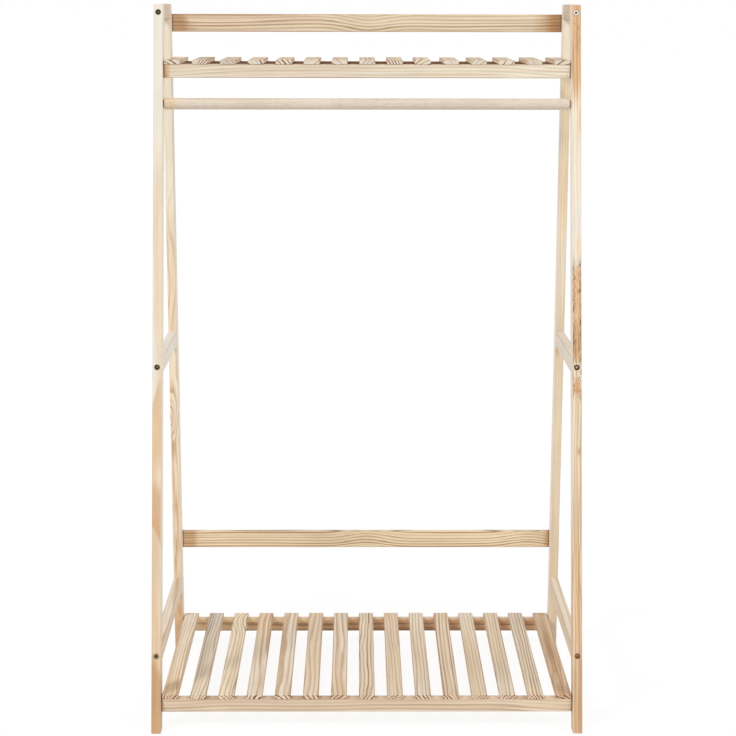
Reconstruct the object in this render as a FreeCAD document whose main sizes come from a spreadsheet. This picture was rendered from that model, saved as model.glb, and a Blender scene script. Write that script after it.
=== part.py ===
# Open frame wardrobe: two raked side frames, cross rails, two slatted shelves and a hanging rod.
# Millimetres. X runs left to right, Y front to back and Z up from the floor.
import FreeCAD
import Part
import Sketcher

import os

Vector = FreeCAD.Vector

SIDES = ("left", "right")

LEFTWARD = Vector(-1, 0, 0)
RIGHTWARD = Vector(1, 0, 0)
FORWARD = Vector(0, -1, 0)
BACKWARD = Vector(0, 1, 0)

doc = FreeCAD.newDocument("OpenFrameWardrobe")

# Driving sizes
SIZE_ROWS = [
    ("overall_width", 820, "across the outer faces of the legs"),
    ("overall_height", 1360, "floor to leg tops"),
    ("base_depth", 450, "front foot to rear foot"),
    ("top_depth", 152, "front leg to rear leg at the tops"),
    ("leg_width", 18, "legs and side rails, left to right"),
    ("leg_depth", 28, "legs, square to their length"),
    ("edge_round", 2, "long edges of legs and rails"),
    ("side_rail_height", 30, "rails that join a front leg to a rear leg"),
    ("lower_rail_level", 143, "centre of the lower side rails"),
    ("back_rail_height", 35, "rails across the backs of the rear legs"),
    ("back_rail_thickness", 15, "rails across the backs of the rear legs"),
    ("top_back_rail_drop", 20, "leg tops down to the top back rail"),
    ("lower_back_rail_level", 234, "centre of the lower back rail"),
    ("shelf_rail_height", 26, "rails under the slats"),
    ("shelf_rail_thickness", 18, "rails under the slats"),
    ("front_rail_setback", 8, "front leg face back to front shelf rail"),
    ("lower_shelf_level", 62, "top of the lower shelf rails"),
    ("upper_shelf_drop", 113, "leg tops down to the top of the upper shelf rails"),
    ("slat_count", 15, "slats in each shelf"),
    ("slat_width", 30, "slats, left to right"),
    ("slat_thickness", 8, "slats, top to bottom"),
    ("slat_end_gap", 2, "outermost slat to leg"),
    ("slat_chamfer", 1, "long edges of the slats"),
    ("rod_diameter", 22, "hanging rod"),
    ("rod_drop", 188, "leg tops down to the centre of the hanging rod"),
    ("rod_end_round", 7, "rounded ends of the rod"),
    ("head_diameter", 10, "screw head"),
    ("head_height", 4, "screw head"),
    ("shank_diameter", 6, "screw shank"),
    ("socket_width", 5, "hex socket across its flats"),
    ("socket_depth", 2.5, "hex socket"),
    ("frame_screw_length", 50, "screw under its head, through a leg"),
    ("back_screw_length", 30, "screw under its head, through a back rail"),
    ("back_screw_spacing", 18, "between the two screws of a back rail end"),
    ("counterbore_depth", 5, "face down to the seat of the head"),
    ("head_clearance", 1, "counterbore over head, on the diameter"),
    ("shank_clearance", 0.4, "through hole over shank, on the diameter"),
    ("pilot_clearance", 0.2, "blind hole over shank or dowel, on the diameter"),
    ("tip_clearance", 2, "blind hole past the end of a screw"),
    ("dowel_diameter", 6, "locating dowel"),
    ("dowel_length", 30, "locating dowel"),
    ("dowel_in_leg", 12, "length of dowel inside the leg"),
    ("dowel_rise", 8, "dowel above the screw of the same joint"),
    ("dowel_end_gap", 0.5, "blind hole past the end of a dowel"),
]

sheet = doc.addObject("Spreadsheet::Sheet", "Sizes")
for row, (alias, number, note) in enumerate(SIZE_ROWS, start=1):
    sheet.set(f"A{row}", alias)
    sheet.set(f"B{row}", str(number))
    sheet.set(f"C{row}", note)
    sheet.setAlias(f"B{row}", alias)
doc.recompute()

# Shared measures, worked out from the driving sizes
ZERO = "0"
LEAN = "((Sizes.base_depth - Sizes.top_depth) / Sizes.overall_height)"
LEVEL_SECTION = f"(Sizes.leg_depth * sqrt(1 + {LEAN} ^ 2))"
FRONT_FOOT = "(-(Sizes.base_depth + Sizes.back_rail_thickness) / 2)"
LEG_BACK = f"({FRONT_FOOT} + Sizes.base_depth)"
OUTER_FACE = "(Sizes.overall_width / 2)"
INNER_FACE = f"({OUTER_FACE} - Sizes.leg_width)"
INNER_SPAN = f"(2 * {INNER_FACE})"
LEG_MIDDLE = "(Sizes.leg_width / 2)"
HEAD_SINK = "(Sizes.counterbore_depth - Sizes.head_height)"
COUNTERBORE = "(Sizes.head_diameter + Sizes.head_clearance)"
THROUGH_HOLE = "(Sizes.shank_diameter + Sizes.shank_clearance)"
SCREW_PILOT = "(Sizes.shank_diameter + Sizes.pilot_clearance)"
DOWEL_HOLE = "(Sizes.dowel_diameter + Sizes.pilot_clearance)"
DOWEL_DEPTH_IN_LEG = "(Sizes.dowel_in_leg + Sizes.dowel_end_gap)"
DOWEL_DEPTH_IN_RAIL = "(Sizes.dowel_length - Sizes.dowel_in_leg + Sizes.dowel_end_gap)"
REAR_RAIL_SETBACK = "((Sizes.leg_depth - Sizes.shelf_rail_thickness) / 2)"
END_EASE = "(Sizes.edge_round / 2)"

SIDE_RAIL_LEVELS = {
    "top": "(Sizes.overall_height - Sizes.side_rail_height / 2)",
    "middle": "(Sizes.overall_height / 2)",
    "lower": "Sizes.lower_rail_level",
}
BACK_RAIL_LEVELS = {
    "top": "(Sizes.overall_height - Sizes.top_back_rail_drop - Sizes.back_rail_height / 2)",
    "lower": "Sizes.lower_back_rail_level",
}
SHELF_LEVELS = {
    "upper": "(Sizes.overall_height - Sizes.upper_shelf_drop)",
    "lower": "Sizes.lower_shelf_level",
}
ROD_LEVEL = "(Sizes.overall_height - Sizes.rod_drop)"

sub_parts = []


def value(expression):
    return float(sheet.evalExpression(expression))


def front_face(level):
    """Front face of a front leg, measured back from its foot, at a height."""
    return f"({LEAN} * {level})"


def rail_middle(shelf):
    """Height of the middle of a shelf's rails."""
    return f"({SHELF_LEVELS[shelf]} - Sizes.shelf_rail_height / 2)"


def front_rail_face(shelf):
    """Front face of a shelf's front rail, measured back from the front foot."""
    return f"({front_face(rail_middle(shelf))} + Sizes.front_rail_setback)"


def place(item, across, back, up):
    """Bind where an object stands."""
    item.setExpression("Placement.Base.x", across)
    item.setExpression("Placement.Base.y", back)
    item.setExpression("Placement.Base.z", up)


def aim(item, direction):
    """Turn an object's own Z axis to a direction."""
    item.Placement = FreeCAD.Placement(Vector(), FreeCAD.Rotation(Vector(0, 0, 1), direction))


def outline(body, role, corners):
    """Closed sketch of straight sides from the body's origin, each corner a pair of measures."""
    sketch = body.newObject("Sketcher::SketchObject", f"{body.Name}_outline")
    plane = [item for item in body.Origin.OriginFeatures if item.Role == role][0]
    sketch.AttachmentSupport = [(plane, "")]
    sketch.MapMode = "FlatFace"
    points = [Vector(value(across), value(up), 0) for across, up in corners]
    for start, end in zip(points, points[1:] + points[:1]):
        sketch.addGeometry(Part.LineSegment(start, end))
    for line in range(len(corners)):
        following = (line + 1) % len(corners)
        sketch.addConstraint(Sketcher.Constraint("Coincident", line, 2, following, 1))
    for line, (across, up) in enumerate(corners):
        for kind, axis, measure in (("DistanceX", -2, across), ("DistanceY", -1, up)):
            if measure == ZERO:
                sketch.addConstraint(Sketcher.Constraint("PointOnObject", line, 1, axis))
            else:
                constraint = Sketcher.Constraint(kind, -1, 1, line, 1, value(measure))
                index = sketch.addConstraint(constraint)
                sketch.setExpression(f"Constraints[{index}]", measure)
    return sketch


def edge_names(shape, chosen):
    names = []
    for number, edge in enumerate(shape.Edges, start=1):
        if any(edge.isSame(other) for other in chosen):
            names.append(f"Edge{number}")
    return names


def long_edges(shape):
    return sorted(shape.Edges, key=lambda edge: edge.Length)[-4:]


def end_faces(shape):
    return sorted(shape.Faces, key=lambda face: face.Area)[:2]


def top_end(shape):
    """Edges round the upper end of an upright bar."""
    return max(end_faces(shape), key=lambda face: face.CenterOfMass.z).Edges


def both_ends(shape):
    """Edges round both ends of a bar."""
    return [edge for face in end_faces(shape) for edge in face.Edges]


def dress(body, feature, measure, size, chosen):
    """Chamfer or round some edges of a body's latest solid."""
    solid = body.Tip
    dressing = body.newObject(feature, f"{body.Name}_edges")
    dressing.Base = (solid, edge_names(solid.Shape, chosen))
    dressing.setExpression(measure, size)
    doc.recompute()


def padded(label, corners, width):
    """Bar with a side outline, padded to the right."""
    body = doc.addObject("PartDesign::Body", label)
    body.Label = label
    pad = body.newObject("PartDesign::Pad", f"{label}_pad")
    pad.Profile = outline(body, "YZ_Plane", corners)
    pad.setExpression("Length", width)
    doc.recompute()
    sub_parts.append(body)
    return body


def bar(label, corners, width, eased):
    """Planed wooden bar with rounded long edges and one or both ends eased."""
    body = padded(label, corners, width)
    dress(body, "PartDesign::Chamfer", "Size", END_EASE, eased(body.Tip.Shape))
    dress(body, "PartDesign::Fillet", "Radius", "Sizes.edge_round", long_edges(body.Tip.Shape))
    return body


def rectangle(depth, height):
    return [(ZERO, ZERO), (depth, ZERO), (depth, height), (ZERO, height)]


def bore(body, diameter, length, start, direction):
    """Round hole of a length, from a start point along a direction."""
    hole = body.newObject("PartDesign::SubtractiveCylinder", f"{body.Name}_bore")
    aim(hole, direction)
    place(hole, *start)
    hole.setExpression("Radius", f"{diameter} / 2")
    hole.setExpression("Height", length)


def screw_hole(body, seat, drive, thickness):
    """Counterbored through hole, from the seat of a screw head along the way it is driven."""
    run_out = f"Sizes.counterbore_depth + {COUNTERBORE}"
    bore(body, COUNTERBORE, run_out, seat, drive * -1)
    bore(body, THROUGH_HOLE, thickness, seat, drive)


def blind_hole(body, diameter, depth, bottom, outward):
    """Hole from its bottom out past the face it opens in."""
    bore(body, diameter, f"{depth} + {diameter}", bottom, outward)


def from_outside(side, depth):
    """Distance across a leg, measured in from its outer face."""
    if side == "left":
        return depth
    return f"(Sizes.leg_width - {depth})"


def leg_origin(side):
    if side == "left":
        return f"-{OUTER_FACE}"
    return INNER_FACE


def inward(side):
    if side == "left":
        return RIGHTWARD
    return LEFTWARD


# Legs
def bore_for_cross_piece(body, side, back, up):
    """Hole in a leg for the screw that holds a shelf rail or the rod."""
    seat = (from_outside(side, "Sizes.counterbore_depth"), back, up)
    screw_hole(body, seat, inward(side), "Sizes.leg_width")


def front_leg(side):
    rake = front_face("Sizes.overall_height")
    corners = [
        (ZERO, ZERO),
        (LEVEL_SECTION, ZERO),
        (f"({rake} + {LEVEL_SECTION})", "Sizes.overall_height"),
        (rake, "Sizes.overall_height"),
    ]
    body = bar(f"front_leg_{side}", corners, "Sizes.leg_width", top_end)
    place(body, leg_origin(side), FRONT_FOOT, ZERO)
    for level in SIDE_RAIL_LEVELS.values():
        seat = (LEG_MIDDLE, f"{front_face(level)} + Sizes.counterbore_depth", level)
        screw_hole(body, seat, BACKWARD, LEVEL_SECTION)
        dowel_level = f"({level} + Sizes.dowel_rise)"
        bottom = f"{front_face(dowel_level)} + {LEVEL_SECTION} - {DOWEL_DEPTH_IN_LEG}"
        blind_hole(body, DOWEL_HOLE, DOWEL_DEPTH_IN_LEG, (LEG_MIDDLE, bottom, dowel_level), BACKWARD)
    for shelf in SHELF_LEVELS:
        back = f"{front_rail_face(shelf)} + Sizes.shelf_rail_thickness / 2"
        bore_for_cross_piece(body, side, back, rail_middle(shelf))
    bore_for_cross_piece(body, side, rod_back(), ROD_LEVEL)


def rear_leg(side):
    corners = rectangle("Sizes.leg_depth", "Sizes.overall_height")
    body = bar(f"rear_leg_{side}", corners, "Sizes.leg_width", top_end)
    place(body, leg_origin(side), f"{LEG_BACK} - Sizes.leg_depth", ZERO)
    for level in SIDE_RAIL_LEVELS.values():
        seat = (LEG_MIDDLE, "Sizes.leg_depth - Sizes.counterbore_depth", level)
        screw_hole(body, seat, FORWARD, "Sizes.leg_depth")
        bottom = (LEG_MIDDLE, DOWEL_DEPTH_IN_LEG, f"{level} + Sizes.dowel_rise")
        blind_hole(body, DOWEL_HOLE, DOWEL_DEPTH_IN_LEG, bottom, FORWARD)
    depth = back_screw_depth()
    for level in back_screw_levels():
        blind_hole(body, SCREW_PILOT, depth, (LEG_MIDDLE, f"Sizes.leg_depth - {depth}", level), BACKWARD)
    for shelf in SHELF_LEVELS:
        bore_for_cross_piece(body, side, "Sizes.leg_depth / 2", rail_middle(shelf))


def rod_back():
    """Centre of the rod, measured back from the front foot."""
    return f"({front_face(ROD_LEVEL)} + {LEVEL_SECTION} / 2)"


def back_screw_depth():
    """Depth of a back rail screw's hole in a rear leg."""
    under_head = "Sizes.back_rail_thickness - Sizes.counterbore_depth"
    return f"(Sizes.back_screw_length - ({under_head}) + Sizes.tip_clearance)"


def back_screw_levels():
    """Heights of the screws of both back rails."""
    levels = []
    for level in BACK_RAIL_LEVELS.values():
        levels.append(f"({level} - Sizes.back_screw_spacing / 2)")
        levels.append(f"({level} + Sizes.back_screw_spacing / 2)")
    return levels


# Rails of the side frames, their front ends cut to the lean of the front leg
def side_rail(level_name, level, side):
    bottom_level = f"({level} - Sizes.side_rail_height / 2)"
    start = f"({front_face(bottom_level)} + {LEVEL_SECTION})"
    run = f"(Sizes.base_depth - Sizes.leg_depth - {start})"
    corners = [
        (ZERO, ZERO),
        (run, ZERO),
        (run, "Sizes.side_rail_height"),
        (front_face("Sizes.side_rail_height"), "Sizes.side_rail_height"),
    ]
    body = bar(f"{level_name}_side_rail_{side}", corners, "Sizes.leg_width", both_ends)
    place(body, leg_origin(side), f"{FRONT_FOOT} + {start}", bottom_level)
    screw_up = "(Sizes.side_rail_height / 2)"
    dowel_up = f"({screw_up} + Sizes.dowel_rise)"
    reach = "Sizes.frame_screw_length + Sizes.counterbore_depth + Sizes.tip_clearance"
    front_depth = f"({reach} - {LEVEL_SECTION})"
    rear_depth = f"({reach} - Sizes.leg_depth)"
    front_holes = [(SCREW_PILOT, front_depth, screw_up), (DOWEL_HOLE, DOWEL_DEPTH_IN_RAIL, dowel_up)]
    rear_holes = [(SCREW_PILOT, rear_depth, screw_up), (DOWEL_HOLE, DOWEL_DEPTH_IN_RAIL, dowel_up)]
    for diameter, depth, up in front_holes:
        bottom = (LEG_MIDDLE, f"{front_face(up)} + {depth}", up)
        blind_hole(body, diameter, depth, bottom, FORWARD)
    for diameter, depth, up in rear_holes:
        blind_hole(body, diameter, depth, (LEG_MIDDLE, f"{run} - {depth}", up), BACKWARD)


# Rails across the backs of the rear legs
def back_rail(level_name, level):
    corners = rectangle("Sizes.back_rail_thickness", "Sizes.back_rail_height")
    body = bar(f"{level_name}_back_rail", corners, "Sizes.overall_width", both_ends)
    place(body, f"-{OUTER_FACE}", LEG_BACK, f"{level} - Sizes.back_rail_height / 2")
    for across in (LEG_MIDDLE, f"Sizes.overall_width - {LEG_MIDDLE}"):
        for sign in ("-", "+"):
            up = f"Sizes.back_rail_height / 2 {sign} Sizes.back_screw_spacing / 2"
            seat = (across, "Sizes.back_rail_thickness - Sizes.counterbore_depth", up)
            screw_hole(body, seat, FORWARD, "Sizes.back_rail_thickness")


# Pieces held between the legs by a screw in each end
def bore_both_ends(body, span, back, up):
    depth = "(Sizes.frame_screw_length + Sizes.counterbore_depth - Sizes.leg_width + Sizes.tip_clearance)"
    blind_hole(body, SCREW_PILOT, depth, (depth, back, up), LEFTWARD)
    blind_hole(body, SCREW_PILOT, depth, (f"{span} - {depth}", back, up), RIGHTWARD)


def shelf_rail(label, back, shelf):
    corners = rectangle("Sizes.shelf_rail_thickness", "Sizes.shelf_rail_height")
    body = bar(label, corners, INNER_SPAN, both_ends)
    place(body, f"-{INNER_FACE}", back, f"{SHELF_LEVELS[shelf]} - Sizes.shelf_rail_height")
    bore_both_ends(body, INNER_SPAN, "Sizes.shelf_rail_thickness / 2", "Sizes.shelf_rail_height / 2")


def hanging_rod():
    body = doc.addObject("PartDesign::Body", "hanging_rod")
    body.Label = "hanging_rod"
    stock = body.newObject("PartDesign::AdditiveCylinder", "hanging_rod_stock")
    aim(stock, RIGHTWARD)
    stock.setExpression("Radius", "Sizes.rod_diameter / 2")
    stock.setExpression("Height", INNER_SPAN)
    doc.recompute()
    rims = [edge for edge in body.Tip.Shape.Edges if isinstance(edge.Curve, Part.Circle)]
    dress(body, "PartDesign::Fillet", "Radius", "Sizes.rod_end_round", rims)
    bore_both_ends(body, INNER_SPAN, ZERO, ZERO)
    place(body, f"-{INNER_FACE}", f"{FRONT_FOOT} + {rod_back()}", ROD_LEVEL)
    sub_parts.append(body)


# Slats
def shelf_slats(shelf):
    length = f"(Sizes.base_depth - {REAR_RAIL_SETBACK} - {front_rail_face(shelf)})"
    free_run = f"({INNER_SPAN} - 2 * Sizes.slat_end_gap - Sizes.slat_width)"
    for number in range(int(value("Sizes.slat_count"))):
        corners = rectangle(length, "Sizes.slat_thickness")
        label = f"{shelf}_shelf_slat_{number + 1:02d}"
        body = padded(label, corners, "Sizes.slat_width")
        dress(body, "PartDesign::Chamfer", "Size", "Sizes.slat_chamfer", long_edges(body.Tip.Shape))
        step = f"{free_run} * {number} / (Sizes.slat_count - 1)"
        across = f"-{INNER_FACE} + Sizes.slat_end_gap + {step}"
        place(body, across, f"{FRONT_FOOT} + {front_rail_face(shelf)}", SHELF_LEVELS[shelf])


# Screws and dowels, each kind made once and repeated
def turned(label, corners):
    body = doc.addObject("PartDesign::Body", label)
    body.Label = label
    turning = body.newObject("PartDesign::Revolution", f"{label}_turning")
    profile = outline(body, "XZ_Plane", corners)
    turning.Profile = profile
    turning.ReferenceAxis = (profile, ["V_Axis"])
    turning.Angle = 360
    doc.recompute()
    return body


def socket_screw(label, length):
    head_radius = "(Sizes.head_diameter / 2)"
    shank_radius = "(Sizes.shank_diameter / 2)"
    end = f"(Sizes.head_height + {length})"
    body = turned(label, [
        (ZERO, ZERO),
        (head_radius, ZERO),
        (head_radius, "Sizes.head_height"),
        (shank_radius, "Sizes.head_height"),
        (shank_radius, end),
        (ZERO, end),
    ])
    socket = body.newObject("PartDesign::SubtractivePrism", f"{label}_socket")
    socket.Polygon = 6
    socket.setExpression("Circumradius", "Sizes.socket_width / sqrt(3)")
    socket.setExpression("Height", "Sizes.socket_depth")
    return body


def locating_dowel(label):
    body = doc.addObject("PartDesign::Body", label)
    body.Label = label
    peg = body.newObject("PartDesign::AdditiveCylinder", f"{label}_peg")
    peg.setExpression("Radius", "Sizes.dowel_diameter / 2")
    peg.setExpression("Height", "Sizes.dowel_length")
    return body


def hardware_group(label, master, stations):
    """Copies of one fastener, each from its start point along its direction."""
    copies = []
    for start, direction in stations:
        copy = doc.addObject("App::Link", f"{label}_copy")
        copy.LinkedObject = master
        aim(copy, direction)
        place(copy, *start)
        copies.append(copy)
    group = doc.addObject("Part::Compound", label)
    group.Label = label
    group.Links = copies
    sub_parts.append(group)


def leg_axis(side):
    """Middle of a leg, left to right."""
    if side == "left":
        return f"{LEG_MIDDLE} - {OUTER_FACE}"
    return f"{OUTER_FACE} - {LEG_MIDDLE}"


def outer_start(side):
    """Outer end of a screw that enters through the outside of a leg."""
    if side == "left":
        return f"{HEAD_SINK} - {OUTER_FACE}"
    return f"{OUTER_FACE} - {HEAD_SINK}"


def front_leg_stations():
    stations = []
    for side in SIDES:
        for level in SIDE_RAIL_LEVELS.values():
            back = f"{FRONT_FOOT} + {front_face(level)} + {HEAD_SINK}"
            stations.append(((leg_axis(side), back, level), BACKWARD))
    return stations


def rear_leg_stations():
    stations = []
    for side in SIDES:
        for level in SIDE_RAIL_LEVELS.values():
            stations.append(((leg_axis(side), f"{LEG_BACK} - {HEAD_SINK}", level), FORWARD))
    return stations


def back_rail_stations():
    back = f"{LEG_BACK} + Sizes.back_rail_thickness - {HEAD_SINK}"
    stations = []
    for side in SIDES:
        for level in back_screw_levels():
            stations.append(((leg_axis(side), back, level), FORWARD))
    return stations


def shelf_rail_stations():
    stations = []
    for side in SIDES:
        for shelf in SHELF_LEVELS:
            front = f"{FRONT_FOOT} + {front_rail_face(shelf)} + Sizes.shelf_rail_thickness / 2"
            rear = f"{LEG_BACK} - Sizes.leg_depth / 2"
            for back in (front, rear):
                stations.append(((outer_start(side), back, rail_middle(shelf)), inward(side)))
    return stations


def rod_stations():
    back = f"{FRONT_FOOT} + {rod_back()}"
    return [((outer_start(side), back, ROD_LEVEL), inward(side)) for side in SIDES]


def dowel_stations():
    stations = []
    for side in SIDES:
        for level in SIDE_RAIL_LEVELS.values():
            up = f"({level} + Sizes.dowel_rise)"
            front = f"{FRONT_FOOT} + {front_face(up)} + {LEVEL_SECTION} - Sizes.dowel_in_leg"
            rear = f"{LEG_BACK} - Sizes.leg_depth + Sizes.dowel_in_leg"
            stations.append(((leg_axis(side), front, up), BACKWARD))
            stations.append(((leg_axis(side), rear, up), FORWARD))
    return stations


# Assembly
for side_name in SIDES:
    front_leg(side_name)
    rear_leg(side_name)
    for rail_name, rail_level in SIDE_RAIL_LEVELS.items():
        side_rail(rail_name, rail_level, side_name)
for rail_name, rail_level in BACK_RAIL_LEVELS.items():
    back_rail(rail_name, rail_level)
for shelf_name in SHELF_LEVELS:
    front_edge = f"{FRONT_FOOT} + {front_rail_face(shelf_name)}"
    rear_edge = f"{LEG_BACK} - Sizes.leg_depth + {REAR_RAIL_SETBACK}"
    shelf_rail(f"{shelf_name}_shelf_front_rail", front_edge, shelf_name)
    shelf_rail(f"{shelf_name}_shelf_back_rail", rear_edge, shelf_name)
    shelf_slats(shelf_name)
hanging_rod()

frame_screw = socket_screw("frame_screw", "Sizes.frame_screw_length")
back_screw = socket_screw("back_screw", "Sizes.back_screw_length")
dowel = locating_dowel("dowel")
hardware_group("front_leg_screws", frame_screw, front_leg_stations())
hardware_group("rear_leg_screws", frame_screw, rear_leg_stations())
hardware_group("shelf_rail_screws", frame_screw, shelf_rail_stations())
hardware_group("rod_screws", frame_screw, rod_stations())
hardware_group("back_rail_screws", back_screw, back_rail_stations())
hardware_group("side_rail_dowels", dowel, dowel_stations())
doc.recompute()

# Every object must be sound before the sub-parts are written
for item in doc.Objects:
    if "Invalid" in item.State or "Error" in item.State:
        raise RuntimeError(f"{item.Label} did not build")
for item in sub_parts:
    if item.Shape.isNull() or not item.Shape.isValid():
        raise RuntimeError(f"{item.Label} has no sound shape")

os.makedirs("parts", exist_ok=True)
for item in sub_parts:
    item.Shape.exportStep(f"parts/{item.Label}.step")
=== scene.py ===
import math
import random
from dataclasses import dataclass, replace
from typing import NamedTuple

import bpy
from mathutils import Matrix, Vector


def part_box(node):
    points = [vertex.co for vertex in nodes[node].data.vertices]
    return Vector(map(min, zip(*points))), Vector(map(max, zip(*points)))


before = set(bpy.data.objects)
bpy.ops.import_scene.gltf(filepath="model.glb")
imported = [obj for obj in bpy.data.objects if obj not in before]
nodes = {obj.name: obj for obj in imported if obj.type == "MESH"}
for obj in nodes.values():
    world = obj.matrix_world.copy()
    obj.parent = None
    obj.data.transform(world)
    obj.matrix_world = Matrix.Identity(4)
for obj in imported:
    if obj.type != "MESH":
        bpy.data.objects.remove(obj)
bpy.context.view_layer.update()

MILLIMETRE = 0.001
AXIS_NAMES = "XYZ"
SIDES = ("left", "right")
SIDE_RAIL_LEVELS = ("lower", "middle", "top")
SLAT_COUNT = 15
LEG_INNER_FACE = 0.392

# Lean of the front legs, from the depths over the feet and over the tops
FOOT_DEPTH = 0.450
TOP_DEPTH = 0.152
HEIGHT = 1.360
LEAN = (FOOT_DEPTH - TOP_DEPTH) / HEIGHT

# Pine tones, linear red, green and blue
MILK = (0.88, 0.83, 0.72)
LINEN = (0.94, 0.85, 0.68)
SHELL = (0.92, 0.79, 0.59)
CORN = (0.96, 0.80, 0.55)
WHEAT = (0.88, 0.69, 0.47)
GOLD = (0.89, 0.60, 0.36)
APRICOT = (0.94, 0.69, 0.42)
MARIGOLD = (0.82, 0.50, 0.26)
IVORY = (0.86, 0.79, 0.66)
CREAM = (0.86, 0.76, 0.61)
GREIGE = (0.80, 0.73, 0.60)
PALE = (0.84, 0.69, 0.51)
ROSE = (0.77, 0.67, 0.56)
OAT = (0.81, 0.66, 0.47)
FAWN = (0.78, 0.64, 0.48)
KHAKI = (0.68, 0.57, 0.43)
STRAW = (0.78, 0.60, 0.40)
BISCUIT = (0.75, 0.54, 0.33)
SAND = (0.71, 0.53, 0.36)
TAN = (0.65, 0.44, 0.26)
HONEY = (0.72, 0.46, 0.26)
COPPER = (0.68, 0.38, 0.19)
FOX = (0.58, 0.325, 0.15)
AMBER = (0.52, 0.29, 0.13)
BROWN = (0.40, 0.24, 0.12)
MAHOGANY = (0.36, 0.15, 0.055)
RUSSET = (0.30, 0.14, 0.06)
GARNET = (0.22, 0.08, 0.04)
UMBER = (0.16, 0.08, 0.035)

# Steel tones of the screws at the sides and the back
DARK_STEEL = (0.06, 0.05, 0.03)
WORN_STEEL = (0.22, 0.20, 0.15)

# Steel tones of the front screws, from the lowest to the top one, and the heights where they start
SCREW_ZONES = (0.0, 0.4, 1.0)
# The heads hold painted glints, brightest on the top right one, and the paler sockets hold painted light
LEFT_HEADS_AND_GLINTS = ((0.34, 0.28, 0.16), (0.085, 0.062, 0.034), (0.050, 0.039, 0.024))
LEFT_SOCKETS_LIT_AND_SHADED = ((0.035, 0.03, 0.02), (0.26, 0.21, 0.12), (0.17, 0.14, 0.09))
RIGHT_HEADS_AND_GLINTS = ((0.26, 0.13, 0.07), (0.090, 0.050, 0.027), (0.98, 0.96, 0.90))
RIGHT_SOCKETS_LIT_AND_SHADED = ((0.45, 0.30, 0.22), (0.60, 0.53, 0.44), (0.02, 0.017, 0.013))

# Share of late wood from the start of a year's growth to its end
YEAR_PROFILE = (
    (0.0, 0.30), (0.06, 0.0), (0.40, 0.05), (0.66, 0.55),
    (0.82, 1.0), (0.95, 0.90), (1.0, 0.30),
)
WEAKEST_YEAR = 0.35

# Noise levels: where nearly all of it and most of it lies, and where streaks and flecks start and are full
NOISE_SPAN = (0.2, 0.8)
NOISE_CORE = (0.3, 0.7)
STREAK_SPAN = (0.44, 0.62)
FLECK_SPAN = (0.54, 0.59)

# Distances between which marks fade: from an edge, a joint, and the middle of a screw head
# Painted shade fades from an edge, a joint and a screw head's rim; painted light fades from a side face
EDGE_SHADE_REACH = (0.4 * MILLIMETRE, 2.0 * MILLIMETRE)
LIT_FACE_REACH = (2.0 * MILLIMETRE, 0.5 * MILLIMETRE)
JOINT_SHADE_REACH = (0.5 * MILLIMETRE, 3.0 * MILLIMETRE)
SOCKET_REACH = (1.8 * MILLIMETRE, 2.8 * MILLIMETRE)
RIM_SHADE_REACH = (4.0 * MILLIMETRE, 5.0 * MILLIMETRE)

# Surfaces: how squarely a sawn end faces along its stick, depth of the relief, and roughness
END_FACING = (0.85, 0.97)
GRAIN_DEPTH = 0.3 * MILLIMETRE
SCRATCH_DEPTH = 0.1 * MILLIMETRE
WOOD_ROUGHNESS = (0.48, 0.64)
STEEL_ROUGHNESS = (0.30, 0.50)


def opaque(tone):
    return (*tone, 1.0)


def grey(level):
    return (level, level, level)


def even(tone):
    """Tones of a stick that has only one."""
    return [(0.0, tone), (1.0, tone)]


class Graph:
    """Short ways to add nodes to a node tree."""

    def __init__(self, owner):
        owner.use_nodes = True
        self.tree = owner.node_tree
        self.tree.nodes.clear()

    def feed(self, socket, given):
        if isinstance(given, bpy.types.NodeSocket):
            self.tree.links.new(given, socket)
        else:
            socket.default_value = given

    def add(self, kind, inputs=None, **settings):
        made = self.tree.nodes.new(kind)
        for name, setting in settings.items():
            setattr(made, name, setting)
        for name, given in (inputs or {}).items():
            self.feed(made.inputs[name], given)
        return made

    def math(self, operation, *operands):
        inputs = dict(enumerate(operands))
        return self.add("ShaderNodeMath", inputs, operation=operation).outputs[0]

    def squared_offset(self, given, middle, breadth):
        offset = self.math("DIVIDE", self.math("SUBTRACT", given, middle), breadth)
        return self.math("MULTIPLY", offset, offset)

    def place(self):
        return self.add("ShaderNodeTexCoord").outputs["Object"]

    def vector(self, x, y, z):
        return self.add("ShaderNodeCombineXYZ", {0: x, 1: y, 2: z}).outputs[0]

    def split(self, vector):
        return self.add("ShaderNodeSeparateXYZ", {0: vector}).outputs

    def fade(self, given, start, end, low=0.0, high=1.0):
        inputs = {"Value": given, "From Min": start, "From Max": end, "To Min": low, "To Max": high}
        return self.add("ShaderNodeMapRange", inputs).outputs[0]

    def noise(self, vector, scale, detail):
        inputs = {"Vector": vector, "Scale": scale, "Detail": detail}
        return self.add("ShaderNodeTexNoise", inputs).outputs["Fac"]

    def ramp(self, given, stops, interpolation="LINEAR"):
        made = self.add("ShaderNodeValToRGB", {"Fac": given})
        made.color_ramp.interpolation = interpolation
        elements = made.color_ramp.elements
        while len(elements) > len(stops):
            elements.remove(elements[-1])
        while len(elements) < len(stops):
            elements.new(1.0)
        for element, (place, tone) in zip(elements, stops):
            element.position = place
            element.color = opaque(tone)
        return made.outputs["Color"]

    def levels(self, given, stops):
        return self.ramp(given, [(place, grey(level)) for place, level in stops])

    def blend(self, amount, first, second, mode="MIX"):
        inputs = {0: amount, 6: first, 7: second}
        return self.add("ShaderNodeMix", inputs, data_type="RGBA", blend_type=mode).outputs[2]

    def mottle(self, colour, noise, low, high):
        """Colour made darker and lighter by noise."""
        return self.blend(1.0, colour, self.fade(noise, *NOISE_SPAN, low, high), "MULTIPLY")

    def finish(self, kind, shader):
        output = self.add(kind)
        self.tree.links.new(shader.outputs[0], output.inputs["Surface"])


def dress(node_name, material):
    for slot in nodes[node_name].material_slots:
        slot.material = material


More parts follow.
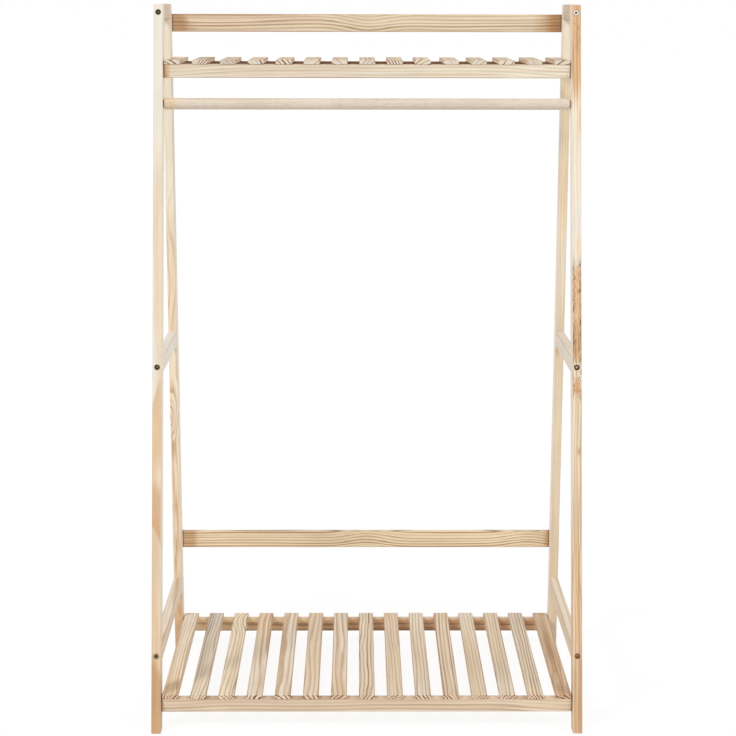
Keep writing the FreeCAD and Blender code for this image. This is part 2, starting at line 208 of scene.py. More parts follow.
class Spot(NamedTuple):
    """A patch of tone, mostly of the wood itself; some are painted shade and light. Its place along a
    stick, its offset to the side, its reach both ways and its tone.
    """

    place: float
    sideways: float
    length: float
    breadth: float
    tone: tuple


class Bend(NamedTuple):
    """A swerve of the rings: its place along a stick, its reach and height. A knot has a breadth too."""

    place: float
    length: float
    height: float
    sideways: float = 0.0
    breadth: float = 0.0


@dataclass
class Look:
    """The wood of one stick. Places along it are fractions of its length, sizes are metres."""

    seed: float

    # Tones by place, how ragged their borders are, and how their slant changes between two places
    tones: list
    flame: float = 0.0
    skew: tuple = (0.0, 1.0, 0.0, 0.0)
    spots: tuple = ()

    # Rings: their middle, distance, strength, strength by place and tone, and how they wander
    pith: tuple = (0.05, -0.05)
    spacing: float = 4.8 * MILLIMETRE
    contrast: float = 0.6
    fading: tuple = ((0.0, 1.0),)
    ring_tone: tuple = BROWN
    drift: float = 0.0
    wobble: float = 8 * MILLIMETRE
    waves: float = 2.5
    ripple: float = 1.0
    bends: tuple = ()

    # Streaks and dark flecks, with their strength by place
    streak_scale: float = 190.0
    streak_tone: tuple = TAN
    streaks: tuple = ((0.0, 0.4),)
    flecks: tuple = ()

    # Paler painted light on the right (1) or left (-1) side face with its strength by place, and painted
    # shade on edges
    lit_face_side: int = 0
    lit_face: tuple = ((0.0, 1.0),)
    edge: float = 0.6

    # Sawn ends, made paler by painted light where set, and the distance of the painted joint shade lines
    # from the middle
    end_painted_light: float = 0.0
    end_lines: tuple = (0.2, 0.5)
    joint_shade_at: float = 0.0


class Stick:
    """Where a point lies in a stick: along it, and across it both ways from its centre line."""

    def __init__(self, graph, node_name, axis, lean):
        low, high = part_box(node_name)
        middle = [(start + end) / 2 for start, end in zip(low, high)]
        size = [end - start for start, end in zip(low, high)]
        position = graph.split(graph.place())
        local = [graph.math("SUBTRACT", position[index], middle[index]) for index in range(3)]
        order = {"X": (0, 1, 2), "Y": (1, 0, 2), "Z": (2, 0, 1)}[axis]
        self.graph = graph
        self.along, self.first, self.second = [local[index] for index in order]
        self.length, width, depth = [size[index] for index in order]
        if lean:
            set_back = graph.math("MULTIPLY", self.along, lean)
            self.second = graph.math("SUBTRACT", self.second, set_back)
            depth = depth - lean * self.length
        self.half_width = width / 2
        self.half_depth = depth / 2
        self.fraction = graph.math("MULTIPLY_ADD", self.along, 1.0 / self.length, 0.5)

    def noise(self, seed, across, along, detail):
        """Noise with so many cycles to the metre across the grain and along it."""
        graph = self.graph
        stretched = graph.vector(
            graph.math("MULTIPLY", self.first, across),
            graph.math("MULTIPLY", self.second, across),
            graph.math("MULTIPLY_ADD", self.along, along, seed),
        )
        return graph.noise(stretched, 1.0, detail)

    def bell(self, mark):
        """One at a spot or bend, and less away from it: along the stick and, with a breadth, across it."""
        graph = self.graph
        squared = graph.squared_offset(self.along, (mark.place - 0.5) * self.length, mark.length)
        if mark.breadth:
            across = graph.squared_offset(self.first, mark.sideways, mark.breadth)
            squared = graph.math("ADD", squared, across)
        return graph.math("EXPONENT", graph.math("MULTIPLY", squared, -1.0))

    def by_place(self, amount, stops):
        """An amount times levels that change along the stick."""
        graph = self.graph
        return graph.math("MULTIPLY", amount, graph.levels(self.fraction, stops))

    def edge_distance(self):
        """How far a point of the surface is from the nearest long edge."""
        graph = self.graph
        from_sides = graph.math("SUBTRACT", self.half_width, graph.math("ABSOLUTE", self.first))
        from_faces = graph.math("SUBTRACT", self.half_depth, graph.math("ABSOLUTE", self.second))
        return graph.math("MAXIMUM", from_sides, from_faces)


def growth_rings(graph, stick, look):
    """How much late wood there is: rings round a pith beside the stick, bent by waves and knots."""
    waver = stick.noise(look.seed, across=10.0, along=look.waves, detail=1.5)
    shift = graph.fade(waver, 0.0, 1.0, -look.wobble, look.wobble)
    shift = graph.math("MULTIPLY_ADD", stick.along, look.drift, shift)
    uneven = stick.noise(look.seed + 0.5, across=110.0, along=2.0, detail=1.0)
    shift = graph.math("MULTIPLY_ADD", uneven, look.ripple * look.spacing, shift)
    for bend in look.bends:
        shift = graph.math("MULTIPLY_ADD", stick.bell(bend), bend.height, shift)
    to_first = graph.math("SUBTRACT", stick.first, look.pith[0])
    to_second = graph.math("SUBTRACT", stick.second, look.pith[1])
    squares = graph.math("MULTIPLY", to_first, to_first)
    squares = graph.math("MULTIPLY_ADD", to_second, to_second, squares)
    radius = graph.math("ADD", graph.math("SQRT", squares), shift)
    years = graph.math("DIVIDE", radius, look.spacing)
    late = graph.levels(graph.math("FRACT", years), YEAR_PROFILE)
    year = graph.math("ADD", graph.math("FLOOR", years), look.seed)
    chance = graph.add("ShaderNodeTexWhiteNoise", {"W": year}, noise_dimensions="1D").outputs["Value"]
    return graph.math("MULTIPLY", late, graph.fade(chance, 0.0, 1.0, WEAKEST_YEAR, 1.0))


def plain_wood(graph, stick, look, streaks, patches):
    """The wood without its rings: tones along the stick, streaks, flecks, spots and patches."""
    raggedness = 0.4 * look.flame
    ragged = graph.fade(streaks, *NOISE_CORE, -raggedness, raggedness)
    place = graph.math("ADD", stick.fraction, ragged)
    across = graph.squared_offset(stick.first, 0.0, stick.half_width)
    place = graph.math("MULTIPLY_ADD", across, look.flame, place)
    slant = graph.math("DIVIDE", graph.fade(stick.fraction, *look.skew), stick.half_width)
    place = graph.math("MULTIPLY_ADD", stick.first, slant, place)
    colour = graph.ramp(place, look.tones)
    streak_amount = stick.by_place(graph.fade(streaks, *STREAK_SPAN), look.streaks)
    colour = graph.blend(streak_amount, colour, opaque(look.streak_tone))
    if look.flecks:
        flecks = stick.noise(look.seed, across=420.0, along=85.0, detail=2.0)
        fleck_amount = stick.by_place(graph.fade(flecks, *FLECK_SPAN), look.flecks)
        fewer_in_the_middle = graph.fade(across, 0.02, 0.35, 0.35, 1.0)
        fleck_amount = graph.math("MULTIPLY", fleck_amount, fewer_in_the_middle)
        colour = graph.blend(fleck_amount, colour, opaque(UMBER))
    for spot in look.spots:
        colour = graph.blend(stick.bell(spot), colour, opaque(spot.tone))
    return graph.mottle(colour, patches, 0.92, 1.08)


def side_grain(graph, stick, look, colour, rings, fibres):
    """The wood along a stick, with rings, painted light on one side face, and fibres."""
    ring_amount = stick.by_place(graph.math("MULTIPLY", rings, look.contrast), look.fading)
    colour = graph.blend(ring_amount, colour, opaque(look.ring_tone))
    # Painted light: one side face is made paler, as where light falls on it
    if look.lit_face_side:
        outward = graph.math("MULTIPLY", stick.first, look.lit_face_side)
        start, full = [stick.half_width - reach for reach in LIT_FACE_REACH]
        lit_face = stick.by_place(graph.fade(outward, start, full, 0.0, 0.8), look.lit_face)
        colour = graph.blend(lit_face, colour, opaque(MILK))
    return graph.mottle(colour, fibres, 0.93, 1.07)


def end_grain(graph, look, colour, rings):
    """The wood of a sawn end: darker, or paler as painted light where the look says so, with dark rings.
    """
    sawn = graph.blend(0.22, colour, opaque(HONEY), "MULTIPLY")
    if look.end_painted_light:
        sawn = graph.blend(look.end_painted_light, sawn, opaque(IVORY))
    return graph.blend(graph.fade(rings, *look.end_lines), sawn, opaque(GARNET))


def edge_and_joint_shade(graph, stick, look, colour, patches):
    """Painted shade along the long edges, and a dark line of painted contact shade at a joint."""
    # Painted shade: the long edges are darkened where their side faces would be in shade
    edge = graph.fade(stick.edge_distance(), *EDGE_SHADE_REACH, look.edge, 0.0)
    edge = graph.math("MULTIPLY", edge, graph.fade(patches, *NOISE_CORE, 0.5, 1.0))
    colour = graph.blend(edge, colour, opaque(AMBER), "MULTIPLY")
    # Painted contact shade: a dark line where the stick meets a leg's inner face
    if look.joint_shade_at:
        from_joint = graph.math("SUBTRACT", graph.math("ABSOLUTE", stick.along), look.joint_shade_at)
        distance = graph.math("ABSOLUTE", from_joint)
        line = graph.fade(distance, *JOINT_SHADE_REACH, 0.85, 0.0)
        colour = graph.blend(line, colour, opaque(UMBER))
    return colour


def pine(node_name, axis, look, lean=0.0):
    """Solid pine whose rings, streaks and fibres run through the whole stick."""
    material = bpy.data.materials.new(f"wood_{node_name}")
    graph = Graph(material)
    stick = Stick(graph, node_name, axis, lean)
    rings = growth_rings(graph, stick, look)
    fibres = stick.noise(look.seed, across=1400.0, along=30.0, detail=3.0)
    streaks = stick.noise(look.seed, across=look.streak_scale, along=3.0, detail=3.0)
    patches = stick.noise(look.seed, across=14.0, along=7.0, detail=2.0)
    plain = plain_wood(graph, stick, look, streaks, patches)
    sides = side_grain(graph, stick, look, plain, rings, fibres)
    ends = end_grain(graph, look, plain, rings)
    normal = graph.split(graph.add("ShaderNodeNewGeometry").outputs["Normal"])
    end_on = graph.math("ABSOLUTE", normal[AXIS_NAMES.index(axis)])
    colour = graph.blend(graph.fade(end_on, *END_FACING), sides, ends)
    colour = edge_and_joint_shade(graph, stick, look, colour, patches)
    relief = graph.math("MULTIPLY_ADD", rings, 0.5, graph.math("MULTIPLY", fibres, 0.5))
    bump = graph.add("ShaderNodeBump", {"Strength": 0.25, "Distance": GRAIN_DEPTH, "Height": relief})
    shader = graph.add("ShaderNodeBsdfPrincipled", {
        "Base Color": colour,
        "Roughness": graph.fade(fibres, *NOISE_SPAN, *WOOD_ROUGHNESS),
        "Normal": bump.outputs[0],
        "Specular IOR Level": 0.4,
    })
    graph.finish("ShaderNodeOutputMaterial", shader)
    dress(node_name, material)


def steel_shader(graph, tone, place):
    """Dull plated steel with fine scratches."""
    scratches = graph.noise(place, 2600.0, 3.0)
    bump = graph.add("ShaderNodeBump", {"Strength": 0.2, "Distance": SCRATCH_DEPTH, "Height": scratches})
    shader = graph.add("ShaderNodeBsdfPrincipled", {
        "Base Color": graph.mottle(tone, scratches, 0.8, 1.2),
        "Metallic": 1.0,
        "Roughness": graph.fade(scratches, *NOISE_SPAN, *STEEL_ROUGHNESS),
        "Normal": bump.outputs[0],
    })
    graph.finish("ShaderNodeOutputMaterial", shader)


def plain_steel(name):
    """Screws seen from the sides and the back."""
    material = bpy.data.materials.new(name)
    graph = Graph(material)
    place = graph.place()
    tone = graph.ramp(graph.noise(place, 9.0, 1.0), [(0.35, DARK_STEEL), (0.65, WORN_STEEL)])
    steel_shader(graph, tone, place)
    return material


def front_steel(name):
    """Front screws with heads and sockets of different tones: painted glints on heads, painted light in
    paler sockets, and a painted shaded rim.
    """
    material = bpy.data.materials.new(name)
    graph = Graph(material)
    place = graph.place()
    x, _, z = graph.split(place)
    leg_x = sum(corner[0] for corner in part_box("rear_leg_right")) / 2
    sideways = graph.math("SUBTRACT", graph.math("ABSOLUTE", x), leg_x)
    upward = 1.0
    for level in SIDE_RAIL_LEVELS:
        rail_z = sum(corner[2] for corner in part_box(f"{level}_side_rail_left")) / 2
        rise = graph.math("ABSOLUTE", graph.math("SUBTRACT", z, rail_z))
        upward = graph.math("MINIMUM", rise, upward)
    squares = graph.math("MULTIPLY", sideways, sideways)
    radius = graph.math("SQRT", graph.math("MULTIPLY_ADD", upward, upward, squares))
    on_right = graph.math("GREATER_THAN", x, 0.0)

    def by_screw(left_tones, right_tones):
        left = graph.ramp(z, list(zip(SCREW_ZONES, left_tones)), "CONSTANT")
        right = graph.ramp(z, list(zip(SCREW_ZONES, right_tones)), "CONSTANT")
        return graph.blend(on_right, left, right)

    head = by_screw(LEFT_HEADS_AND_GLINTS, RIGHT_HEADS_AND_GLINTS)
    socket = by_screw(LEFT_SOCKETS_LIT_AND_SHADED, RIGHT_SOCKETS_LIT_AND_SHADED)
    in_socket = graph.fade(radius, *SOCKET_REACH, 1.0, 0.0)
    tone = graph.blend(in_socket, head, socket)
    # Painted shade: a dark rim round each head, where it sits in its recess
    rim_shade = graph.fade(radius, *RIM_SHADE_REACH, 0.0, 0.6)
    tone = graph.blend(rim_shade, tone, opaque(UMBER))
    steel_shader(graph, tone, place)
    return material


# Legs
pine("front_leg_left", "Z", Look(
    seed=3.1,
    tones=[
        (0.0, FOX), (0.085, FOX), (0.105, STRAW), (0.165, STRAW), (0.19, OAT), (0.271, OAT),
        (0.277, COPPER), (0.30, HONEY), (0.33, HONEY), (0.35, STRAW), (0.385, BISCUIT), (0.470, BISCUIT),
        (0.476, IVORY), (0.66, IVORY), (0.71, PALE), (0.8, IVORY), (0.95, MILK),
    ],
    flame=0.006,
    skew=(0.27, 0.47, 0.016, -0.0275),
    spots=(
        Spot(0.348, 5 * MILLIMETRE, 0.022, 6 * MILLIMETRE, PALE),
        Spot(0.550, 6.5 * MILLIMETRE, 0.10, 2.5 * MILLIMETRE, WHEAT),
        Spot(0.650, 5 * MILLIMETRE, 0.08, 6 * MILLIMETRE, WHEAT),
    ),
    pith=(0.03, 0.03),
    spacing=11 * MILLIMETRE,
    contrast=0.4,
    ring_tone=TAN,
    wobble=16 * MILLIMETRE,
    streak_scale=90.0,
    streaks=((0.0, 0.4), (0.75, 0.4), (0.82, 0.0)),
    lit_face_side=1,
    lit_face=((0.10, 0.2), (0.20, 1.0)),
    edge=0.2,
), LEAN)
pine("front_leg_right", "Z", Look(
    seed=8.4,
    tones=[
        (0.0, SAND), (0.09, STRAW), (0.14, WHEAT), (0.34, WHEAT), (0.4, SHELL), (0.463, SHELL),
        (0.467, COPPER), (0.480, MARIGOLD), (0.492, SHELL), (0.510, SHELL), (0.518, HONEY), (0.556, HONEY),
        (0.574, APRICOT), (0.586, GOLD), (0.637, GOLD), (0.642, MILK), (0.855, LINEN), (0.90, MARIGOLD),
    ],
    flame=0.02,
    spots=(
        Spot(0.030, 2.8 * MILLIMETRE, 0.055, 3.5 * MILLIMETRE, FOX),
        Spot(0.085, 5 * MILLIMETRE, 0.045, 2.5 * MILLIMETRE, FOX),
        Spot(0.385, 4 * MILLIMETRE, 7 * MILLIMETRE, 4 * MILLIMETRE, COPPER),
        Spot(0.489, -7.5 * MILLIMETRE, 0.010, 1.0 * MILLIMETRE, GARNET),
        Spot(0.525, -2.5 * MILLIMETRE, 0.016, 0.7 * MILLIMETRE, RUSSET),
        Spot(0.541, -5.9 * MILLIMETRE, 0.033, 1.0 * MILLIMETRE, GARNET),
        Spot(0.551, 7.9 * MILLIMETRE, 0.028, 1.0 * MILLIMETRE, RUSSET),
        Spot(0.666, 3 * MILLIMETRE, 0.020, 4 * MILLIMETRE, APRICOT),
        Spot(0.842, 7 * MILLIMETRE, 0.035, 5 * MILLIMETRE, GOLD),
        Spot(0.882, 2 * MILLIMETRE, 0.020, 0.7 * MILLIMETRE, BROWN),
        Spot(0.885, -3.2 * MILLIMETRE, 0.028, 0.7 * MILLIMETRE, BROWN),
        Spot(0.912, -7 * MILLIMETRE, 0.024, 0.9 * MILLIMETRE, RUSSET),
        Spot(0.932, -5.9 * MILLIMETRE, 0.020, 0.8 * MILLIMETRE, RUSSET),
        Spot(0.948, 1.8 * MILLIMETRE, 0.016, 0.7 * MILLIMETRE, BROWN),
    ),
    pith=(0.06, 0.02),
    spacing=5.5 * MILLIMETRE,
    contrast=1.0,
    fading=((0.0, 1.0), (0.46, 1.0), (0.47, 0.6), (0.64, 0.6), (0.66, 0.35), (0.86, 0.35), (0.9, 0.6)),
    ring_tone=AMBER,
    wobble=11 * MILLIMETRE,
    waves=5.0,
    streak_tone=AMBER,
    streaks=((0.0, 0.8), (0.45, 0.8), (0.47, 0.7), (0.64, 0.7), (0.66, 0.1), (0.85, 0.1), (0.9, 0.6)),
    flecks=((0.455, 0.0), (0.465, 1.0), (0.64, 1.0), (0.65, 0.0), (0.92, 0.0), (0.95, 0.4)),
    lit_face_side=-1,
    lit_face=((0.22, 0.15), (0.32, 1.0)),
    edge=0.2,
), LEAN)
pine("rear_leg_left", "Z", Look(
    seed=12.7,
    tones=[
        (0.0, HONEY), (0.06, HONEY), (0.1, OAT), (0.2, SHELL),
        (0.68, SHELL), (0.72, LINEN), (1.0, LINEN),
    ],
    spots=(
        Spot(0.375, -9 * MILLIMETRE, 4 * MILLIMETRE, 2 * MILLIMETRE, BROWN),
        Spot(0.586, 2 * MILLIMETRE, 0.10, 4 * MILLIMETRE, WHEAT),
        Spot(0.325, -5.5 * MILLIMETRE, 0.035, 1.5 * MILLIMETRE, HONEY),
        Spot(0.272, -4.2 * MILLIMETRE, 0.045, 1.5 * MILLIMETRE, COPPER),
        Spot(0.238, -0.5 * MILLIMETRE, 0.024, 1.8 * MILLIMETRE, COPPER),
        Spot(0.205, 2.2 * MILLIMETRE, 0.040, 1.5 * MILLIMETRE, COPPER),
        Spot(0.166, -1.5 * MILLIMETRE, 0.024, 1.8 * MILLIMETRE, COPPER),
        Spot(0.140, -4 * MILLIMETRE, 0.020, 1.5 * MILLIMETRE, FOX),
    ),
    pith=(0.03, 0.03),
    spacing=9.5 * MILLIMETRE,
    contrast=1.0,
    fading=(
        (0.0, 0.7), (0.10, 0.5), (0.13, 0.35), (0.29, 0.35), (0.33, 0.9), (0.42, 0.9),
        (0.47, 0.6), (0.68, 0.5), (0.72, 0.2), (0.9, 0.0),
    ),
    ring_tone=AMBER,
    wobble=26 * MILLIMETRE,
    waves=6.0,
    bends=(Bend(0.375, 0.034, 32 * MILLIMETRE, sideways=-8 * MILLIMETRE, breadth=9 * MILLIMETRE),),
    streak_tone=HONEY,
    streaks=((0.0, 0.4), (0.10, 0.4), (0.13, 0.2), (0.5, 0.3), (0.7, 0.1)),
    lit_face_side=1,
    edge=0.2,
))
pine("rear_leg_right", "Z", Look(
    seed=17.2,
    tones=[(0.0, OAT), (0.5, OAT), (0.62, CREAM), (0.72, CORN), (0.89, CORN), (0.93, LINEN), (1.0, LINEN)],
    spots=(
        Spot(0.48, -6 * MILLIMETRE, 0.012, 4 * MILLIMETRE, TAN),
        Spot(0.70, 2 * MILLIMETRE, 0.06, 8 * MILLIMETRE, WHEAT),
    ),
    pith=(-0.12, 0.03),
    contrast=0.45,
    fading=((0.0, 1.0), (0.89, 1.0), (0.93, 0.3)),
    ring_tone=TAN,
    streaks=((0.0, 0.3), (0.89, 0.3), (0.93, 0.0)),
    lit_face_side=-1,
    edge=0.2,
))

# Side rails, with the tones of the left and the right one; the middle left one is paler, painted light on
# its inner face
SIDE_RAIL_TONES = {"lower": (CREAM, CREAM), "middle": (MILK, GREIGE), "top": (FAWN, KHAKI)}
for level_number, level in enumerate(SIDE_RAIL_LEVELS):
    for side_number, side in enumerate(SIDES):
        pine(f"{level}_side_rail_{side}", "Y", Look(
            seed=21.3 + 3.7 * level_number + 1.9 * side_number,
            tones=even(SIDE_RAIL_TONES[level][side_number]),
            pith=(0.03, -0.11),
            spacing=6 * MILLIMETRE,
            contrast=0.7 if level == "lower" else 0.3,
            ring_tone=AMBER,
            streaks=((0.0, 0.35 if level == "lower" else 0.1),),
        ))

# Back rails
pine("top_back_rail", "X", Look(
    seed=41.9,
    # Painted shadow and shade: left end darker for the left rear leg's shadow, right end for shade by the
    # right leg
    tones=[
        (0.0, HONEY), (0.05, HONEY), (0.066, PALE), (0.4, SHELL),
        (0.905, SHELL), (0.935, STRAW), (0.955, FOX), (0.978, BROWN),
    ],
    pith=(0.01, -0.25),
    spacing=7 * MILLIMETRE,
    contrast=1.0,
    fading=((0.0, 0.85), (0.9, 0.85), (0.95, 1.0)),
    ring_tone=RUSSET,
    wobble=12 * MILLIMETRE,
    waves=2.2,
    bends=(Bend(0.5, 0.055, 12 * MILLIMETRE),),
    streaks=((0.0, 0.9), (0.35, 0.7), (0.6, 0.3)),
    joint_shade_at=LEG_INNER_FACE,
))
pine("lower_back_rail", "X", Look(
    seed=47.2,
    # Painted shadow and shade: left end darker for the left rear leg's shadow, right end for shade by the
    # right leg
    tones=[(0.0, GOLD), (0.050, GOLD), (0.062, CORN), (0.962, CORN), (0.975, COPPER)],
    pith=(0.01, -0.25),
    spacing=6 * MILLIMETRE,
    contrast=0.9,
    ring_tone=RUSSET,
    wobble=6 * MILLIMETRE,
    bends=(Bend(0.5, 0.05, -10 * MILLIMETRE), Bend(0.92, 0.05, -9 * MILLIMETRE)),
    streaks=((0.0, 0.25),),
    joint_shade_at=LEG_INNER_FACE,
))

# Shelf rails, with what the two front ones and the two back ones share
FRONT_SHELF_RAIL = dict(
    pith=(0.02, -0.16),
    spacing=7 * MILLIMETRE,
    bends=(Bend(0.0, 0.10, 8 * MILLIMETRE), Bend(1.0, 0.10, 8 * MILLIMETRE)),
    joint_shade_at=LEG_INNER_FACE - 1 * MILLIMETRE,
)
BACK_SHELF_RAIL = dict(
    pith=(0.0, 0.536),
    spacing=17 * MILLIMETRE,
    contrast=1.0,
    fading=((0.0, 0.7), (0.3, 0.8), (0.5, 1.0)),
    ring_tone=MAHOGANY,
    wobble=3 * MILLIMETRE,
    edge=0.3,
)
pine("upper_shelf_front_rail", "X", Look(
    seed=55.6,
    # Painted shadow: the left end is darker for the shadow of the left front leg
    tones=[(0.0, HONEY), (0.010, HONEY), (0.018, CREAM), (0.5, CREAM), (1.0, LINEN)],
    contrast=0.55,
    **FRONT_SHELF_RAIL,
))
pine("lower_shelf_front_rail", "X", Look(
    seed=59.7,
    tones=[(0.0, FAWN), (0.5, FAWN), (1.0, PALE)],
    contrast=0.85,
    **FRONT_SHELF_RAIL,
))
pine("upper_shelf_back_rail", "X", Look(
    seed=57.9,
    tones=even(BISCUIT),
    # Painted shade: a dark band on the front face for the shade under the slats; the back stays plain pine
    spots=(Spot(0.5, -9 * MILLIMETRE, 1.0, 5 * MILLIMETRE, UMBER),),
    **BACK_SHELF_RAIL,
))
pine("lower_shelf_back_rail", "X", Look(
    seed=62.0,
    tones=[(0.0, APRICOT), (0.3, APRICOT), (0.5, COPPER)],
    # Painted light: a paler patch on the top face, where light falls
    spots=(Spot(0.75, 3 * MILLIMETRE, 0.35, 9 * MILLIMETRE, PALE),),
    **BACK_SHELF_RAIL,
))

# Slats by number from the left: with clear lines, with broad rings, with striped sawn ends
LINED = (2, 3, 8, 11, 14)
BROAD = (1, 4, 5, 6, 7, 15)
STRIPED_ENDS = (1, 2, 3, 4, 5, 9, 14)

# What slats are drawn from; the first three lower slats are paler, painted light that lifts the front left
# leg's shadow
DRAW_SEED = 7
FIRST_SLAT_SEED = {"lower": 70.0, "upper": 130.0}
# The upper slats' darker tones are painted shade on tops that get less light
UPPER_TONES = (KHAKI, OAT, KHAKI, KHAKI)
LOWER_TONES = (CREAM, CREAM, PALE, OAT)
PALER_TONES = (IVORY, SHELL, SHELL)
PALER_COUNT = 3

# Lower slats with a figure of their own
LOWER_FIGURES = {
    # Painted shadow: the warm band near the front end tints the shadow of the front left leg
    1: dict(tones=[(0.0, OAT), (0.03, WHEAT), (0.14, WHEAT), (0.2, SHELL), (1.0, IVORY)]),
    2: dict(tones=[(0.0, SHELL), (1.0, IVORY)]),
    3: dict(bends=(Bend(0.9, 0.05, 8 * MILLIMETRE),)),
    5: dict(tones=even(CREAM)),
    8: dict(
        tones=[(0.0, PALE), (1.0, SHELL)],
        spacing=5.6 * MILLIMETRE,
        ring_tone=RUSSET,
        wobble=12 * MILLIMETRE,
        waves=6.0,
    ),
    11: dict(
        tones=even(PALE),
        spacing=5.6 * MILLIMETRE,
        ring_tone=RUSSET,
        wobble=8 * MILLIMETRE,
    ),
    14: dict(tones=[(0.0, SHELL), (1.0, IVORY)]),
    15: dict(
        tones=[(0.0, SAND), (1.0, KHAKI)],
        spots=(
            Spot(0.55, -4 * MILLIMETRE, 0.16, 5 * MILLIMETRE, BROWN),
            Spot(0.50, 1 * MILLIMETRE, 0.18, 1.8 * MILLIMETRE, RUSSET),
            Spot(0.40, 7 * MILLIMETRE, 0.12, 1.0 * MILLIMETRE, BROWN),
        ),
        pith=(-0.03, -0.06),
        spacing=6 * MILLIMETRE,
        contrast=1.0,
        wobble=12 * MILLIMETRE,
    ),
}


def slat_look(shelf, number, draw):
    """Wood drawn for one slat, changed where the slat is of a kind or has a figure of its own."""
    side = draw.choice((-1, 1))
    if shelf == "upper":
        choice = UPPER_TONES
    else:
        choice = LOWER_TONES if number > PALER_COUNT else PALER_TONES
    look = Look(
        seed=FIRST_SLAT_SEED[shelf] + 3.3 * number,
        tones=[(place, draw.choice(choice)) for place in (0.1, 0.5, 0.9)],
        pith=(side * draw.uniform(0.04, 0.07), -draw.uniform(0.03, 0.06)),
        spacing=draw.uniform(4.2, 5.4) * MILLIMETRE,
        drift=draw.uniform(-0.02, 0.02),
        contrast=0.8,
        edge=0.85,
    )
    if number in LINED:
        look.contrast = 1.0
        look.wobble = 10 * MILLIMETRE
    if number in BROAD:
        look.pith = (side * draw.uniform(0.02, 0.04), -draw.uniform(0.02, 0.035))
        look.spacing = draw.uniform(6.0, 8.0) * MILLIMETRE
        look.wobble = 14 * MILLIMETRE
        look.contrast = 0.85
        look.ring_tone = AMBER
    if shelf == "lower":
        return replace(look, **LOWER_FIGURES.get(number, {}))
    look.ripple = 0.25
    # Painted light: the sawn front ends are paler than the darker-toned tops
    look.end_painted_light = 0.7
    look.spacing *= 0.9 if number in STRIPED_ENDS else 1.3
    look.end_lines = (0.3, 0.6) if number in STRIPED_ENDS else (0.5, 0.8)
    return look


slat_draw = random.Random(DRAW_SEED)
for shelf in ("lower", "upper"):
    for number in range(1, SLAT_COUNT + 1):
        pine(f"{shelf}_shelf_slat_{number:02d}", "Y", slat_look(shelf, number, slat_draw))

# Rod, dowels and screws
pine("hanging_rod", "X", Look(
    seed=150.2,
    tones=[(0.0, STRAW), (0.018, STRAW), (0.05, ROSE), (1.0, ROSE)],
    pith=(0.01, -0.05),
    contrast=0.3,
    ring_tone=TAN,
    streaks=((0.0, 0.15),),
    flecks=((0.0, 0.12),),
    joint_shade_at=LEG_INNER_FACE,
))
pine("side_rail_dowels", "Y", Look(seed=160.8, tones=even(SAND), contrast=0.2))
side_steel = plain_steel("screw_steel")
for node_name in nodes:
    if node_name == "front_leg_screws":
        dress(node_name, front_steel("screw_steel_front_glints"))
    elif node_name.endswith("_screws"):
        dress(node_name, side_steel)


# Floor, light and camera
def seen_directly(graph):
    """Whether a ray comes from the camera, from gloss or through glass."""
    path = graph.add("ShaderNodeLightPath").outputs
    seen = graph.math("MAXIMUM", path["Is Camera Ray"], path["Is Glossy Ray"])
    return graph.math("MAXIMUM", seen, path["Is Transmission Ray"])


def add_floor(half_width, glow_strength, glow_share):
    """White floor that keeps a faint shadow: paint, mixed with a glow where it is seen directly."""
    material = bpy.data.materials.new("studio_floor")
    graph = Graph(material)
    mottle = graph.noise(graph.place(), 3.0, 2.0)
    paint = graph.add("ShaderNodeBsdfDiffuse", {"Color": graph.fade(mottle, 0.0, 1.0, 0.93, 0.95)})
    glow = graph.add("ShaderNodeEmission", {"Color": opaque(grey(1.0)), "Strength": glow_strength})
    mixed = graph.add("ShaderNodeMixShader", {
        0: graph.math("MULTIPLY", seen_directly(graph), glow_share),
        1: paint.outputs[0],
        2: glow.outputs[0],
    })
    graph.finish("ShaderNodeOutputMaterial", mixed)
    mesh = bpy.data.meshes.new("studio_floor")
    corners = [(-1, -1), (1, -1), (1, 1), (-1, 1)]
    mesh.from_pydata([(x * half_width, y * half_width, 0.0) for x, y in corners], [], [(0, 1, 2, 3)])
    mesh.materials.append(material)
    floor = bpy.data.objects.new("studio_floor", mesh)
    bpy.context.scene.collection.objects.link(floor)


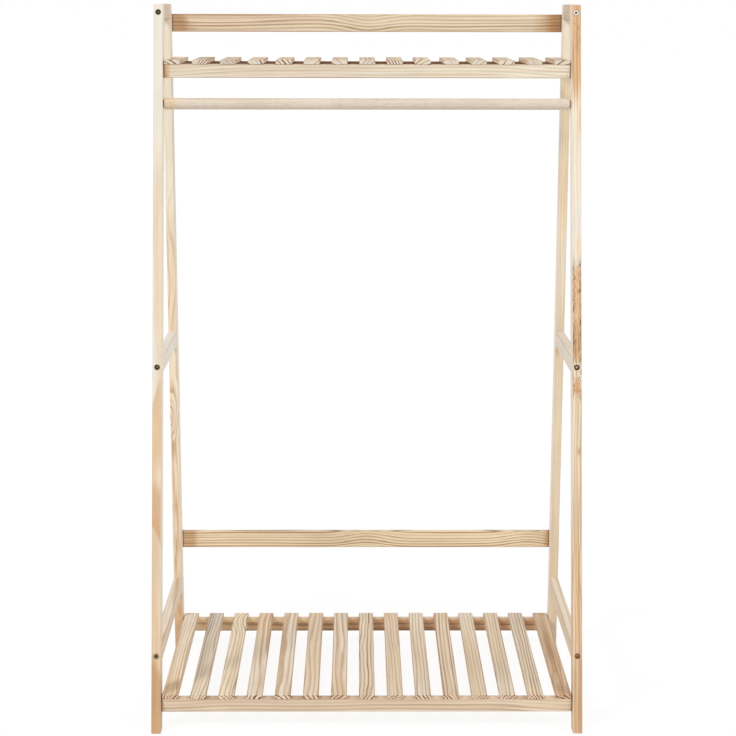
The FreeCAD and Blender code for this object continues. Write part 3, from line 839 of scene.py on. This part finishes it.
def add_world(strength):
    """White all round: full white behind the object, softer as light."""
    world = bpy.data.worlds.new("studio")
    graph = Graph(world)
    background = graph.add("ShaderNodeBackground", {
        "Color": opaque(grey(1.0)),
        "Strength": graph.fade(seen_directly(graph), 0.0, 1.0, strength, 1.0),
    })
    graph.finish("ShaderNodeOutputWorld", background)
    bpy.context.scene.world = world


def add_sun(name, azimuth, elevation, strength, spread):
    """Distant lamp. Its azimuth, in degrees, is counted from the front towards the left."""
    lamp = bpy.data.lights.new(name, "SUN")
    lamp.energy = strength
    lamp.angle = math.radians(spread)
    turn = math.radians(azimuth)
    rise = math.radians(elevation)
    towards = Vector((
        -math.sin(turn) * math.cos(rise),
        -math.cos(turn) * math.cos(rise),
        math.sin(rise),
    ))
    holder = bpy.data.objects.new(name, lamp)
    holder.rotation_euler = towards.to_track_quat("Z", "Y").to_euler()
    bpy.context.scene.collection.objects.link(holder)


def add_camera(place, turn_right, look_down, tilt, photo_pixels, focal_pixels, shift_pixels):
    """Camera where the photograph was taken from. Its angles are in degrees."""
    data = bpy.data.cameras.new("photo_camera")
    data.sensor_width = 36.0
    data.lens = data.sensor_width * focal_pixels / photo_pixels
    data.shift_y = shift_pixels / photo_pixels
    data.clip_end = 500.0
    yaw = Matrix.Rotation(math.radians(-turn_right), 4, "Z")
    pitch = Matrix.Rotation(math.radians(90.0 - look_down), 4, "X")
    roll = Matrix.Rotation(math.radians(tilt), 4, "Z")
    camera = bpy.data.objects.new("photo_camera", data)
    camera.matrix_world = Matrix.Translation(place) @ yaw @ pitch @ roll
    bpy.context.scene.collection.objects.link(camera)
    bpy.context.scene.camera = camera


bpy.context.scene.view_settings.view_transform = "Standard"
add_floor(half_width=40.0, glow_strength=1.05, glow_share=0.85)
add_world(strength=0.46)
add_sun("key", azimuth=48.0, elevation=38.0, strength=1.28, spread=14.0)
add_sun("fill", azimuth=-60.0, elevation=35.0, strength=0.95, spread=30.0)
add_camera(
    place=(-0.0178, -3.1449, 1.3739),
    turn_right=0.36,
    look_down=11.22,
    tilt=0.11,
    photo_pixels=736,
    focal_pixels=1643.1,
    shift_pixels=-45.0,
)
